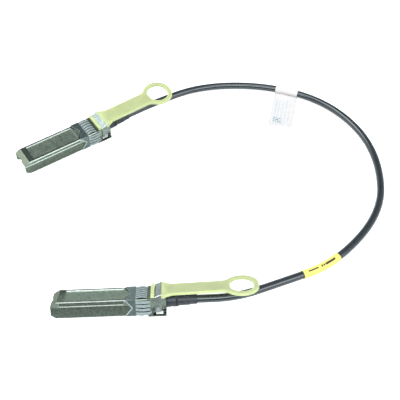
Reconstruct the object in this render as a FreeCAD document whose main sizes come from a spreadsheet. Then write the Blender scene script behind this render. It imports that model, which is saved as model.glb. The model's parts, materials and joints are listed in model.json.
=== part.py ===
"""Copper cable assembly with a pluggable metal connector and a pull tab at each end, in millimetres."""

import math
import os
import re

import FreeCAD
import Part
import Sketcher

# Every driving size, in millimetres or degrees.
# In a plug's own frame x runs from the nose to the cable, y across and z up from the underside of its body.
SIZES = {
    # body
    "plug_width": 13.55,
    "plug_height": 8.55,
    "nose_top_run": 3.2,
    "nose_top_drop": 2.05,
    "nose_low_run": 2.5,
    "nose_low_rise": 1.6,
    "edge_chamfer": 0.4,
    "cap_height": 2.35,
    "stop_start": 47.5,
    "rear_length": 9.0,
    "seam_offset": 1.1,
    "rear_drop": 1.0,
    "ridge_rise": 0.35,
    "waist_offset": 2.8,
    "waist_inset": 0.625,
    # shell walls
    "side_wall": 0.75,
    "upper_wall": 1.4,
    "roof": 1.0,
    "floor": 1.0,
    "rear_plate": 0.6,
    "rear_wall": 0.9,
    "waist_wall": 0.5,
    "mouth_length": 10.4,
    "comb_slot": 0.85,
    "comb_pitch": 1.5,
    # outside features
    "groove_start": 4.6,
    "panel_start": 6.6,
    "panel_gap": 0.6,
    "groove_height": 1.65,
    "groove_depth": 0.5,
    "panel_margin": 1.15,
    "panel_depth": 0.6,
    "ramp_depth": 0.15,
    # spring-finger collar
    "collar_reach": 11.3,
    "top_notch": 2.9,
    "side_notch": 3.5,
    "finger_length": 5.9,
    "side_finger_reach": 1.2,
    "sheet": 0.2,
    "finger_bulge": 0.65,
    "finger_width": 1.55,
    "finger_pitch": 2.05,
    # card
    "card_front": 3.2,
    "card_shoulder": 12.0,
    "card_setback": 7.5,
    "card_height": 2.25,
    "card_thickness": 1.0,
    "card_tongue": 9.2,
    "pad_pitch": 0.8,
    "pad_width": 0.5,
    "pad_length": 3.6,
    "pad_thickness": 0.05,
    "rail_width": 1.0,
    # cable and what holds it
    "cable_height": 4.2,
    "cable_diameter": 4.2,
    "cable_depth": 5.7,
    "core_diameter": 0.9,
    "core_lower_spread": 2.9,
    "core_upper_spread": 1.3,
    "ferrule_length": 3.0,
    "ferrule_wall": 0.8,
    "flange_diameter": 6.5,
    "flange_length": 1.1,
    "neck_diameter": 5.5,
    "boot_length": 15.4,
    "boot_first": 6.0,
    "boot_second": 5.7,
    "boot_root": 7.0,
    "boot_end": 4.9,
    "boot_slot": 0.8,
    # latch lever
    "pivot_offset": 1.4,
    "pivot_height": 1.45,
    "pin_diameter": 1.2,
    "tongue_length": 5.5,
    "lever_height": 0.15,
    "lever_sheet": 0.5,
    "tongue_width": 5.0,
    "lever_side": 0.35,
    "lever_clearance": 0.7,
    "boss_offset": 0.4,
    "boss_length": 2.6,
    "boss_width": 2.6,
    "boss_drop": 0.45,
    "spring_width": 3.0,
    "spring_sheet": 0.2,
    # yoke and pull tab
    "arm_offset": 3.5,
    "arm_width": 3.2,
    "yoke_sheet": 0.5,
    "yoke_lift": 1.2,
    "yoke_rise": 1.35,
    "rivet_height": 2.8,
    "rivet_diameter": 1.4,
    "rivet_head": 2.3,
    "rivet_head_height": 0.35,
    "pull_travel": 1.8,
    "latch_angle": 8.0,
    "bar_offset": 1.5,
    "bar_length": 1.8,
    "bar_thickness": 1.1,
    "root_length": 1.75,
    "root_lift": 0.25,
    "root_height": 2.0,
    "strap_lift": 0.65,
    "strap_tilt": 1.5,
    "strap_thickness": 1.3,
    "strap_width": 10.0,
    "strap_flare": 3.5,
    "strap_rim": 0.8,
    "rim_height": 0.3,
    "tab_reach": 46.8,
    "ring_outer": 16.9,
    "ring_inner": 11.9,
    "ring_straight": 2.4,
    "ring_fillet": 6.0,
    "web_width": 2.8,
    "web_offset": 3.6,
    # clearances
    "gap": 0.15,
    "running": 0.05,
    "fit": 0.02,
    # labels on the cable
    "film": 0.15,
    "flag_width": 14.6,
    "flag_length": 31.0,
    "wrap_length": 23.6,
    # where the plugs lie on the table
    "plug_a_x": -63.2425,
    "plug_a_y": 24.082,
    "plug_a_yaw": 31.4,
    "plug_b_x": -35.9425,
    "plug_b_y": -76.218,
    "plug_b_roll": -29.4,
}

# Places that follow from the sizes: across the plug, along it, then up.
HALF = "plug_width / 2"
INNER = "(plug_width / 2 - side_wall)"
UPPER_INNER = "(plug_width / 2 - upper_wall)"
CARD_HALF = "(plug_width / 2 - side_wall - running)"
RAIL_INNER = "(plug_width / 2 - side_wall - rail_width)"
COLLAR_INNER = "(plug_width / 2 + fit)"
WAIST = "(plug_width / 2 - waist_inset)"
WAIST_INNER = "(plug_width / 2 - waist_inset - waist_wall)"
LEVER_HALF = "(plug_width / 2 - waist_inset - waist_wall - lever_side)"
YOKE_HALF = "(plug_width / 2 - waist_inset + 2 * gap + yoke_sheet)"
ROOT_HALF = "(plug_width / 2 - gap / 2)"
LENGTH = "(stop_start + rear_length)"
REAR_START = "(stop_start + seam_offset)"
WAIST_START = "(stop_start + waist_offset)"
REAR_INSIDE = "(stop_start + rear_length - rear_wall)"
FLANGE_START = "(stop_start + rear_length - rear_wall - flange_length)"
CABLE_START = "(stop_start + rear_length - cable_depth)"
PANEL_END = "(stop_start - collar_reach - panel_gap)"
COLLAR_START = "(stop_start - collar_reach)"
COLLAR_TIP = "(stop_start - collar_reach + top_notch)"
SIDE_TIP = "(stop_start - collar_reach + side_notch)"
BAND_END = "(stop_start - finger_length)"
FINGER_END = "(stop_start - gap)"
SIDE_FINGER_END = "(stop_start + side_finger_reach)"
CARD_END = "(stop_start - card_setback)"
PIVOT_START = "(stop_start + pivot_offset)"
LEVER_FRONT = "(stop_start - tongue_length)"
LEVER_REAR = "(stop_start + rear_length - rear_wall - lever_clearance)"
BOSS_FRONT = "(stop_start - tongue_length + boss_offset)"
BOSS_REAR = "(stop_start - tongue_length + boss_offset + boss_length)"
ARM_START = "(stop_start + arm_offset)"
ARM_END = "(stop_start + arm_offset + arm_width)"
RIVET_X = "(stop_start + arm_offset + arm_width / 2)"
BAR_START = "(stop_start + bar_offset)"
ROOT_START = "(stop_start + arm_offset + arm_width + running)"
ROOT_END = "(stop_start + arm_offset + arm_width + running + root_length)"
RING_CENTRE = "(stop_start + tab_reach)"
PARTING = "(plug_height - cap_height)"
CEILING = "(plug_height - roof)"
PLATE_TOP = "(rear_plate - rear_drop)"
CARD_TOP = "(card_height + card_thickness)"
LEVER_TOP = "(lever_height + lever_sheet)"
COLLAR_LOW = "(0 - fit)"
COLLAR_HIGH = "(plug_height + fit)"
SLOT_RADIUS = "(rivet_diameter / 2 + running)"
YOKE_FRONT = "(plug_height + yoke_lift)"
YOKE_UNDER = "(plug_height + yoke_lift - yoke_sheet * 1.27)"
YOKE_SLOPE = "(yoke_rise / arm_width)"
BAR_LOW = "(plug_height + ridge_rise + 2 * gap)"
BAR_TOP = "(plug_height + ridge_rise + 2 * gap + bar_thickness)"
ROOT_LOW = "(plug_height + root_lift)"
ROOT_TOP = "(plug_height + root_lift + root_height)"
STRAP_BASE = f"(plug_height + strap_lift - {ROOT_END} * tan(strap_tilt * 1deg))"

doc = FreeCAD.newDocument("cable_assembly")
sheet = doc.addObject("Spreadsheet::Sheet", "Sizes")
for row, (alias, number) in enumerate(SIZES.items(), start=1):
    sheet.set(f"A{row}", alias)
    sheet.set(f"B{row}", str(number))
    sheet.setAlias(f"B{row}", alias)
doc.recompute()


def value(expression):
    """The number that an expression of sizes gives."""
    return float(sheet.evalExpression(str(expression)))


def bound(expression):
    """The same expression, as an object outside the sheet has to write it."""
    def cell(word):
        return f"Sizes.{word[0]}" if word[0] in SIZES else word[0]

    return re.sub(r"[a-z_]+", cell, str(expression))


class Piece:
    """One sub-part as a body with sketches and features, each bound to the sheet."""

    def __init__(self, node, place):
        self.body = doc.addObject("PartDesign::Body", node)
        self.body.Label = node
        self.body.Placement = place
        self.count = 0

    def sketch(self, plane, offset="0", lift="0", tilt=None):
        """A sketch on an origin plane: offset moves it off, lift raises it, tilt raises its far end."""
        self.count += 1
        drawing = self.body.newObject("Sketcher::SketchObject", f"{self.body.Name}_sketch_{self.count}")
        support = next(o for o in self.body.Origin.OriginFeatures if o.Role == plane)
        drawing.AttachmentSupport = [(support, "")]
        drawing.MapMode = "FlatFace"
        if tilt:
            drawing.AttachmentOffset = FreeCAD.Placement(
                FreeCAD.Vector(0, 0, 0), FreeCAD.Rotation(FreeCAD.Vector(0, -1, 0), value(tilt))
            )
            drawing.setExpression("AttachmentOffset.Rotation.Angle", bound(f"{tilt} * 1deg"))
        drawing.setExpression("AttachmentOffset.Base.z", bound(offset))
        drawing.setExpression("AttachmentOffset.Base.y", bound(lift))
        return drawing

    def feature(self, kind, drawing, length=None, reverse=False, both=False):
        """A pad or pocket of a sketch, to one side or symmetric about the sketch."""
        self.count += 1
        made = self.body.newObject(f"PartDesign::{kind}", f"{self.body.Name}_{kind.lower()}_{self.count}")
        made.Profile = drawing
        if both:
            made.SideType = "Symmetric"
        made.Reversed = reverse
        made.setExpression("Length", bound(length))
        self.body.Tip = made
        return made

    def turn(self, kind, drawing):
        """A full revolution or groove about the sketch's horizontal axis."""
        self.count += 1
        made = self.body.newObject(f"PartDesign::{kind}", f"{self.body.Name}_{kind.lower()}_{self.count}")
        made.Profile = drawing
        made.ReferenceAxis = (drawing, ["H_Axis"])
        made.Angle = 360.0
        self.body.Tip = made
        return made

    def chamfer(self, size, chosen):
        """A chamfer on the edges for which chosen(edge) is true."""
        doc.recompute()
        base = self.body.Tip
        names = [f"Edge{i}" for i, edge in enumerate(base.Shape.Edges, start=1) if chosen(edge)]
        self.count += 1
        made = self.body.newObject("PartDesign::Chamfer", f"{self.body.Name}_chamfer_{self.count}")
        made.Base = (base, names)
        made.setExpression("Size", bound(size))
        self.body.Tip = made
        return made

    def fillet(self, radius, chosen):
        """A fillet on the edges for which chosen(edge) is true."""
        doc.recompute()
        base = self.body.Tip
        names = [f"Edge{i}" for i, edge in enumerate(base.Shape.Edges, start=1) if chosen(edge)]
        self.count += 1
        made = self.body.newObject("PartDesign::Fillet", f"{self.body.Name}_fillet_{self.count}")
        made.Base = (base, names)
        made.setExpression("Radius", bound(radius))
        self.body.Tip = made
        return made


def pin_down(drawing, kind, item, end, expression):
    """Hold a point of a sketch at a bound distance from the sketch's origin."""
    number = drawing.addConstraint(Sketcher.Constraint(kind, -1, 1, item, end, value(expression)))
    drawing.setExpression(f"Constraints[{number}]", bound(expression))


def polygon(drawing, corners):
    """A closed outline of straight lines through corners given as pairs of expressions."""
    places = [FreeCAD.Vector(value(a), value(b), 0) for a, b in corners]
    first = drawing.GeometryCount
    count = len(places)
    for i in range(count):
        drawing.addGeometry(Part.LineSegment(places[i], places[(i + 1) % count]), False)
    for i in range(count):
        drawing.addConstraint(Sketcher.Constraint("Coincident", first + i, 2, first + (i + 1) % count, 1))
    for i, (across, up) in enumerate(corners):
        pin_down(drawing, "DistanceX", first + i, 1, across)
        pin_down(drawing, "DistanceY", first + i, 1, up)
    return drawing


def rectangle(drawing, left, right, low, high):
    return polygon(drawing, [(left, low), (right, low), (right, high), (left, high)])


def circle(drawing, across, up, radius):
    middle = FreeCAD.Vector(value(across), value(up), 0)
    item = drawing.addGeometry(Part.Circle(middle, FreeCAD.Vector(0, 0, 1), value(radius)), False)
    pin_down(drawing, "DistanceX", item, 3, across)
    pin_down(drawing, "DistanceY", item, 3, up)
    number = drawing.addConstraint(Sketcher.Constraint("Radius", item, value(radius)))
    drawing.setExpression(f"Constraints[{number}]", bound(radius))
    return drawing


def slot(drawing, start, end, radius):
    """A straight slot with round ends, from one centre to the other."""
    size = value(radius)
    a = FreeCAD.Vector(value(start[0]), value(start[1]), 0)
    b = FreeCAD.Vector(value(end[0]), value(end[1]), 0)
    side = FreeCAD.Vector(a.y - b.y, b.x - a.x, 0).normalize() * size
    turn = math.atan2(b.y - a.y, b.x - a.x)
    up = FreeCAD.Vector(0, 0, 1)
    quarter = math.pi / 2
    near = drawing.addGeometry(
        Part.ArcOfCircle(Part.Circle(a, up, size), turn + quarter, turn + 3 * quarter), False
    )
    low = drawing.addGeometry(Part.LineSegment(a - side, b - side), False)
    far = drawing.addGeometry(
        Part.ArcOfCircle(Part.Circle(b, up, size), turn - quarter, turn + quarter), False
    )
    high = drawing.addGeometry(Part.LineSegment(b + side, a + side), False)
    for one, two in ((near, low), (low, far), (far, high), (high, near)):
        drawing.addConstraint(Sketcher.Constraint("Tangent", one, 2, two, 1))
    for item, centre in ((near, start), (far, end)):
        pin_down(drawing, "DistanceX", item, 3, centre[0])
        pin_down(drawing, "DistanceY", item, 3, centre[1])
    drawing.addConstraint(Sketcher.Constraint("Equal", near, far))
    number = drawing.addConstraint(Sketcher.Constraint("Radius", near, size))
    drawing.setExpression(f"Constraints[{number}]", bound(radius))
    return drawing


def along_x(edge):
    """True for a straight edge that runs along the plug."""
    ends = [vertex.Point for vertex in edge.Vertexes]
    if len(ends) != 2:
        return False
    return abs(ends[0].y - ends[1].y) < 0.001 and abs(ends[0].z - ends[1].z) < 0.001


def waist_cut(drawing):
    """Plan of what is cut from both sides so that the yoke's arms lie flush beside the rear end."""
    for sign in ("", "0 - "):
        rectangle(drawing, WAIST_START, f"{LENGTH} + 1", f"{sign}{WAIST}", f"{sign}plug_width")
    return drawing


def upper_shell(node, place):
    """Upper half: nose chamfer, sunk label panel with its chevron ramp, side grooves, card hold-down ribs."""
    piece = Piece(node, place)
    outline = polygon(piece.sketch("XZ_Plane"), [
        ("0", PARTING),
        ("0", "plug_height - nose_top_drop"),
        ("nose_top_run", "plug_height"),
        (LENGTH, "plug_height"),
        (LENGTH, "cable_height"),
        (REAR_START, "cable_height"),
        (REAR_START, PARTING),
    ])
    piece.feature("Pad", outline, "plug_width", both=True)
    inside = polygon(piece.sketch("XZ_Plane"), [
        ("0 - roof", "cable_height - 1"),
        ("0 - roof", f"{CEILING} - nose_top_drop"),
        ("0", f"{CEILING} - nose_top_drop"),
        ("nose_top_run", CEILING),
        (REAR_INSIDE, CEILING),
        (REAR_INSIDE, "cable_height - 1"),
    ])
    piece.feature("Pocket", inside, f"2 * {UPPER_INNER}", both=True)
    rear = rectangle(
        piece.sketch("XZ_Plane"), f"{REAR_START} + side_wall", REAR_INSIDE, "cable_height - 1", CEILING
    )
    piece.feature("Pocket", rear, f"2 * {WAIST_INNER}", both=True)
    neck = circle(piece.sketch("YZ_Plane"), "0", "cable_height", "neck_diameter / 2")
    piece.feature("Pocket", neck, f"3 * {LENGTH}", both=True)
    groove_top = f"{PARTING} + groove_height"
    grooves = piece.sketch("YZ_Plane", offset="groove_start")
    for sign in ("", "0 - "):
        rectangle(
            grooves,
            f"{sign}({HALF} - groove_depth)",
            f"{sign}({HALF} + groove_depth)",
            f"{PARTING} - groove_depth",
            groove_top,
        )
    piece.feature("Pocket", grooves, f"{PANEL_END} - groove_start", reverse=True)
    panel_half = f"({HALF} - panel_margin)"
    panel = rectangle(
        piece.sketch("XY_Plane", offset="plug_height"),
        "panel_start", PANEL_END, f"0 - {panel_half}", panel_half,
    )
    piece.feature("Pocket", panel, "panel_depth")
    ramp = polygon(piece.sketch("XY_Plane", offset="plug_height"), [
        (PANEL_END, f"0 - {panel_half}"), (COLLAR_TIP, "0"), (PANEL_END, panel_half),
    ])
    piece.feature("Pocket", ramp, "ramp_depth")
    ribs = piece.sketch("XY_Plane", offset=CARD_TOP)
    for sign in ("", "0 - "):
        rectangle(ribs, "card_shoulder + 2", f"{CARD_END} - 2", f"{sign}({UPPER_INNER} - rail_width / 2)",
                  f"{sign}({UPPER_INNER} + gap)")
    piece.feature("Pad", ribs, f"{PARTING} + gap - {CARD_TOP}")
    top, half = value("plug_height"), value(HALF)
    piece.chamfer(
        "edge_chamfer",
        lambda edge: along_x(edge)
        and abs(edge.Vertexes[0].Point.z - top) < 0.001
        and abs(abs(edge.Vertexes[0].Point.y) - half) < 0.001,
    )
    ridge = rectangle(
        piece.sketch("XZ_Plane"),
        "stop_start", WAIST_START, "plug_height - edge_chamfer", "plug_height + ridge_rise",
    )
    piece.feature("Pad", ridge, "plug_width", both=True)
    piece.feature("Pocket", waist_cut(piece.sketch("XY_Plane")), "4 * plug_height", both=True)
    return piece.body


def lower_shell(node, place):
    """Lower half: open under the card edge, card rails, lever window, rear ears with slots and a comb end."""
    piece = Piece(node, place)
    outline = polygon(piece.sketch("XZ_Plane"), [
        ("0", "nose_low_rise"),
        ("nose_low_run", "0"),
        ("stop_start", "0"),
        ("stop_start", "0 - rear_drop"),
        (LENGTH, "0 - rear_drop"),
        (LENGTH, "cable_height"),
        (REAR_START, "cable_height"),
        (REAR_START, PARTING),
        ("0", PARTING),
    ])
    piece.feature("Pad", outline, "plug_width", both=True)
    inside = polygon(piece.sketch("XZ_Plane"), [
        ("0 - 1", "0 - 1"),
        ("mouth_length", "0 - 1"),
        ("mouth_length", "floor"),
        ("stop_start + rear_plate", "floor"),
        ("stop_start + rear_plate", PLATE_TOP),
        (f"{WAIST_START} - rear_plate", PLATE_TOP),
        (f"{WAIST_START} - rear_plate", f"{PARTING} + 1"),
        ("0 - 1", f"{PARTING} + 1"),
    ])
    piece.feature("Pocket", inside, f"2 * {INNER}", both=True)
    rear = rectangle(
        piece.sketch("XZ_Plane"), f"{WAIST_START} - 2 * rear_plate", REAR_INSIDE, PLATE_TOP, f"{PARTING} + 1"
    )
    piece.feature("Pocket", rear, f"2 * {WAIST_INNER}", both=True)
    lever_half = f"({LEVER_HALF} + gap)"
    tongue_half = "(tongue_width / 2 + 2 * gap)"
    neck_start = "(stop_start - lever_sheet)"
    window = polygon(piece.sketch("XY_Plane"), [
        (f"{LEVER_FRONT} - 2 * gap", f"0 - {tongue_half}"),
        (neck_start, f"0 - {tongue_half}"),
        (neck_start, f"0 - {lever_half}"),
        ("stop_start + 2 * rear_plate", f"0 - {lever_half}"),
        ("stop_start + 2 * rear_plate", lever_half),
        (neck_start, lever_half),
        (neck_start, tongue_half),
        (f"{LEVER_FRONT} - 2 * gap", tongue_half),
    ])
    piece.feature("Pocket", window, "floor + gap", reverse=True)
    rails = piece.sketch("XY_Plane", offset="floor")
    for sign in ("", "0 - "):
        rectangle(rails, "card_shoulder", CARD_END, f"{sign}{RAIL_INNER}", f"{sign}({INNER} + gap)")
    piece.feature("Pad", rails, "card_height - floor")
    gap_window = rectangle(
        piece.sketch("XZ_Plane"), f"{PIVOT_START} + pin_diameter", LEVER_REAR, PLATE_TOP, "rivet_height - 1.2"
    )
    piece.feature("Pocket", gap_window, "2 * plug_width", both=True)
    under = rectangle(
        piece.sketch("XY_Plane", offset=f"{PLATE_TOP} + gap"),
        f"{PIVOT_START} + 2 * pin_diameter", LEVER_REAR, f"0 - {lever_half}", lever_half,
    )
    piece.feature("Pocket", under, "rear_plate + 2 * gap")
    comb = piece.sketch("XZ_Plane")
    for number in range(2):
        low = f"{PLATE_TOP} + rear_plate + {number} * comb_pitch"
        rectangle(comb, f"{REAR_INSIDE} - 2 * gap", f"{LENGTH} + 1", low, f"{low} + comb_slot")
    piece.feature("Pocket", comb, "2 * plug_width", both=True)
    rivet_slot = slot(
        piece.sketch("XZ_Plane"),
        (RIVET_X, "rivet_height"),
        (f"{RIVET_X} + pull_travel", "rivet_height"),
        SLOT_RADIUS,
    )
    piece.feature("Pocket", rivet_slot, "2 * plug_width", both=True)
    pin_hole = circle(piece.sketch("XZ_Plane"), PIVOT_START, "pivot_height", "pin_diameter / 2")
    piece.feature("Pocket", pin_hole, "2 * plug_width", both=True)
    neck = circle(piece.sketch("YZ_Plane"), "0", "cable_height", "neck_diameter / 2")
    piece.feature("Pocket", neck, f"3 * {LENGTH}", both=True)
    parting, half = value(PARTING), value(HALF)
    piece.chamfer(
        "edge_chamfer",
        lambda edge: along_x(edge)
        and abs(edge.Vertexes[0].Point.z - parting) < 0.001
        and abs(abs(edge.Vertexes[0].Point.y) - half) < 0.001,
    )
    waist = waist_cut(piece.sketch("XY_Plane", offset=PLATE_TOP))
    piece.feature("Pocket", waist, "plug_height", reverse=True)
    return piece.body


def finger_outline(drawing, base, outward, end):
    """Side view of one arched spring finger; base is the level it stands on, outward the way it bulges."""
    back = f"({end} - {BAND_END})"
    levels = [(0.0, "0"), (0.25, "0.72 * finger_bulge"), (0.5, "finger_bulge"), (0.75, "0.72 * finger_bulge"),
              (1.0, "gap / 2")]
    outer = [(f"{BAND_END} + {share} * {back}", f"{base} {outward} ({up} + sheet)") for share, up in levels]
    inner = [(f"{BAND_END} + {share} * {back}", f"{base} {outward} {up}") for share, up in levels]
    root = [(f"{BAND_END} - sheet", f"{base}"), (f"{BAND_END} - sheet", f"{base} {outward} sheet")]
    return polygon(drawing, root + outer + list(reversed(inner)))


def emi_collar(node, place):
    """Sheet-metal sleeve round the body: V-notched front edge and rows of arched spring fingers."""
    piece = Piece(node, place)
    band = piece.sketch("YZ_Plane", offset=COLLAR_START)
    rectangle(band, f"0 - {COLLAR_INNER} - sheet", f"{COLLAR_INNER} + sheet", f"{COLLAR_LOW} - sheet",
              f"{COLLAR_HIGH} + sheet")
    rectangle(band, f"0 - {COLLAR_INNER}", COLLAR_INNER, COLLAR_LOW, COLLAR_HIGH)
    piece.feature("Pad", band, f"{BAND_END} - {COLLAR_START}")
    side_notch = polygon(piece.sketch("XZ_Plane"), [
        (f"{COLLAR_START} - 1", COLLAR_LOW), (COLLAR_START, COLLAR_LOW),
        (SIDE_TIP, "plug_height / 2"), (COLLAR_START, COLLAR_HIGH), (f"{COLLAR_START} - 1", COLLAR_HIGH),
    ])
    piece.feature("Pocket", side_notch, "2 * plug_width", both=True)
    top_notch = polygon(piece.sketch("XY_Plane"), [
        (f"{COLLAR_START} - 1", f"0 - {COLLAR_INNER}"), (COLLAR_START, f"0 - {COLLAR_INNER}"),
        (COLLAR_TIP, "0"), (COLLAR_START, COLLAR_INNER), (f"{COLLAR_START} - 1", COLLAR_INNER),
    ])
    piece.feature("Pocket", top_notch, "4 * plug_height", both=True)
    rows = (
        ("XZ_Plane", COLLAR_HIGH, "+", "2.5 * finger_pitch", 6, False),
        ("XZ_Plane", COLLAR_LOW, "-", "2.5 * finger_pitch", 2, False),
        ("XZ_Plane", COLLAR_LOW, "-", "0 - 1.5 * finger_pitch", 2, False),
        ("XY_Plane", COLLAR_INNER, "+", "plug_height / 2 - 1.5 * finger_pitch", 4, True),
        ("XY_Plane", f"(0 - {COLLAR_INNER})", "-", "plug_height / 2 - 1.5 * finger_pitch", 4, True),
    )
    for plane, base, outward, start, copies, upright in rows:
        for copy in range(copies):
            step = f"{copy} * finger_pitch"
            offset = f"{start} + {step}" if upright else f"{start} - {step}"
            end = SIDE_FINGER_END if upright else FINGER_END
            drawing = finger_outline(piece.sketch(plane, offset=offset), base, outward, end)
            piece.feature("Pad", drawing, "finger_width", both=True)
    return piece.body


def paddle_card(node, place):
    """Circuit board whose narrow front tongue enters the host connector; it sits on the lower rails."""
    piece = Piece(node, place)
    outline = polygon(piece.sketch("XY_Plane", offset="card_height"), [
        ("card_front", "0 - card_tongue / 2 + edge_chamfer"),
        ("card_front + edge_chamfer", "0 - card_tongue / 2"),
        ("card_shoulder", "0 - card_tongue / 2"),
        ("card_shoulder", f"0 - {CARD_HALF}"),
        (CARD_END, f"0 - {CARD_HALF}"),
        (CARD_END, CARD_HALF),
        ("card_shoulder", CARD_HALF),
        ("card_shoulder", "card_tongue / 2"),
        ("card_front + edge_chamfer", "card_tongue / 2"),
        ("card_front", "card_tongue / 2 - edge_chamfer"),
    ])
    piece.feature("Pad", outline, "card_thickness")
    return piece.body


def group(node, place, members):
    """Several separate solids of one kind as one sub-part."""
    made = doc.addObject("Part::Compound", node)
    made.Links = members
    made.Label = node
    made.Placement = place
    return made


def card_contacts(node, place):
    """Ten contact pads on each face of the card's tongue."""
    pads = []
    for face, height in (("top", CARD_TOP), ("low", "card_height - pad_thickness")):
        for number in range(10):
            pad = doc.addObject("Part::Box", f"{node}_{face}_{number}")
            pad.setExpression("Length", bound("pad_length"))
            pad.setExpression("Width", bound("pad_width"))
            pad.setExpression("Height", bound("pad_thickness"))
            pad.setExpression("Placement.Base.x", bound("card_front + edge_chamfer"))
            pad.setExpression("Placement.Base.y", bound(f"({number} - 4.5) * pad_pitch - pad_width / 2"))
            pad.setExpression("Placement.Base.z", bound(height))
            pads.append(pad)
    return group(node, place, pads)


def path_of(points):
    """Straight runs joined by tangent arcs, each as large as its two runs allow; also the arcs' radii."""
    edges = []
    radii = []
    last = points[0]
    for before, corner, after in zip(points, points[1:], points[2:]):
        back = (before - corner).normalize()
        ahead = (after - corner).normalize()
        turn = math.pi - back.getAngle(ahead)
        reach = 0.45 * min(before.distanceToPoint(corner), corner.distanceToPoint(after))
        radius = reach / math.tan(turn / 2)
        inward = (back + ahead).normalize()
        middle = corner + inward * (radius / math.cos(turn / 2) - radius)
        begin = corner + back * reach
        end = corner + ahead * reach
        edges.append(Part.LineSegment(last, begin).toShape())
        edges.append(Part.Arc(begin, middle, end).toShape())
        radii.append(radius)
        last = end
    edges.append(Part.LineSegment(last, points[-1]).toShape())
    return edges, radii


def tube(edges, radius):
    """A round rod along a chain of edges."""
    start = edges[0].valueAt(edges[0].FirstParameter)
    heading = edges[0].tangentAt(edges[0].FirstParameter)
    section = Part.Wire(Part.makeCircle(radius, start, heading))
    made = Part.Wire(edges).makePipeShell([section], True, True)
    length = sum(edge.Length for edge in edges)
    if abs(made.Volume - math.pi * radius**2 * length) > 0.01 * made.Volume:
        raise RuntimeError(f"rod of {length:.1f} mm has volume {made.Volume:.2f}")
    return made


def feature(node, shape, place=None):
    """A sub-part whose shape is made directly."""
    made = doc.addObject("Part::Feature", node)
    made.Shape = shape
    made.Label = node
    if place is not None:
        made.Placement = place
    return made


def wire_cores(node, place):
    """The four insulated cores, from the end of the jacket to the rear of the card."""
    radius = value("core_diameter") / 2
    board = value(CARD_TOP) + radius
    cores = []
    for across, up in ((-1, -1), (1, -1), (-1, 1), (1, 1)):
        spread = "core_lower_spread" if up < 0 else "core_upper_spread"
        start = FreeCAD.Vector(value(CARD_END) - 3, across * value(spread), board)
        jacket = value(CABLE_START) - value("gap")
        end = FreeCAD.Vector(jacket, across * radius * 1.1, value("cable_height") + up * radius * 1.1)
        cores.append(Part.makeCylinder(radius, start.distanceToPoint(end), start, end - start))
    return feature(node, Part.makeCompound(cores), place)


def crimp_ferrule(node, place):
    """Metal ring that clamps the end of the jacket, just ahead of the boot's flange."""
    piece = Piece(node, place)
    inner = "cable_diameter / 2 + fit"
    section = rectangle(
        piece.sketch("XZ_Plane", lift="cable_height"),
        f"{FLANGE_START} - ferrule_length",
        FLANGE_START,
        inner,
        f"{inner} + ferrule_wall",
    )
    piece.turn("Revolution", section)
    return piece.body


def strain_relief(node, place):
    """Rubber boot: flange held between the shells, neck through the rear wall, then three slotted steps."""
    piece = Piece(node, place)
    bore = "cable_diameter / 2 + running"
    second, third = f"({LENGTH} + boot_first)", f"({LENGTH} + boot_first + boot_second)"
    step = "(boot_root - boot_end) / 4"
    profile = polygon(piece.sketch("XZ_Plane", lift="cable_height"), [
        (FLANGE_START, bore),
        (FLANGE_START, "flange_diameter / 2"),
        (f"{REAR_INSIDE} - running", "flange_diameter / 2"),
        (f"{REAR_INSIDE} - running", "neck_diameter / 2 - fit"),
        (f"{LENGTH} + fit", "neck_diameter / 2 - fit"),
        (f"{LENGTH} + fit", "boot_root / 2"),
        (second, "boot_root / 2 - gap"),
        (second, f"boot_root / 2 - {step}"),
        (third, f"boot_root / 2 - {step} - gap"),
        (third, "boot_end / 2 + gap"),
        (f"{LENGTH} + boot_length", "boot_end / 2"),
        (f"{LENGTH} + boot_length", bore),
    ])
    piece.turn("Revolution", profile)
    depth = "(cable_diameter / 2 + (boot_end - cable_diameter) / 4)"
    for plane, middle in (
        ("XZ_Plane", f"({LENGTH} + boot_first / 2)"),
        ("XZ_Plane", f"({LENGTH} + boot_first + boot_second * 0.55)"),
        ("XY_Plane", f"({LENGTH} + boot_first - boot_slot)"),
    ):
        centre, offset = ("cable_height", "0") if plane == "XZ_Plane" else ("0", "cable_height")
        notches = piece.sketch(plane, offset=offset)
        for sign in ("+", "-"):
            rectangle(notches, f"{middle} - boot_slot / 2", f"{middle} + boot_slot / 2",
                      f"{centre} {sign} {depth}", f"{centre} {sign} boot_root")
        piece.feature("Pocket", notches, "2 * boot_root", both=True)
    return piece.body


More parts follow.
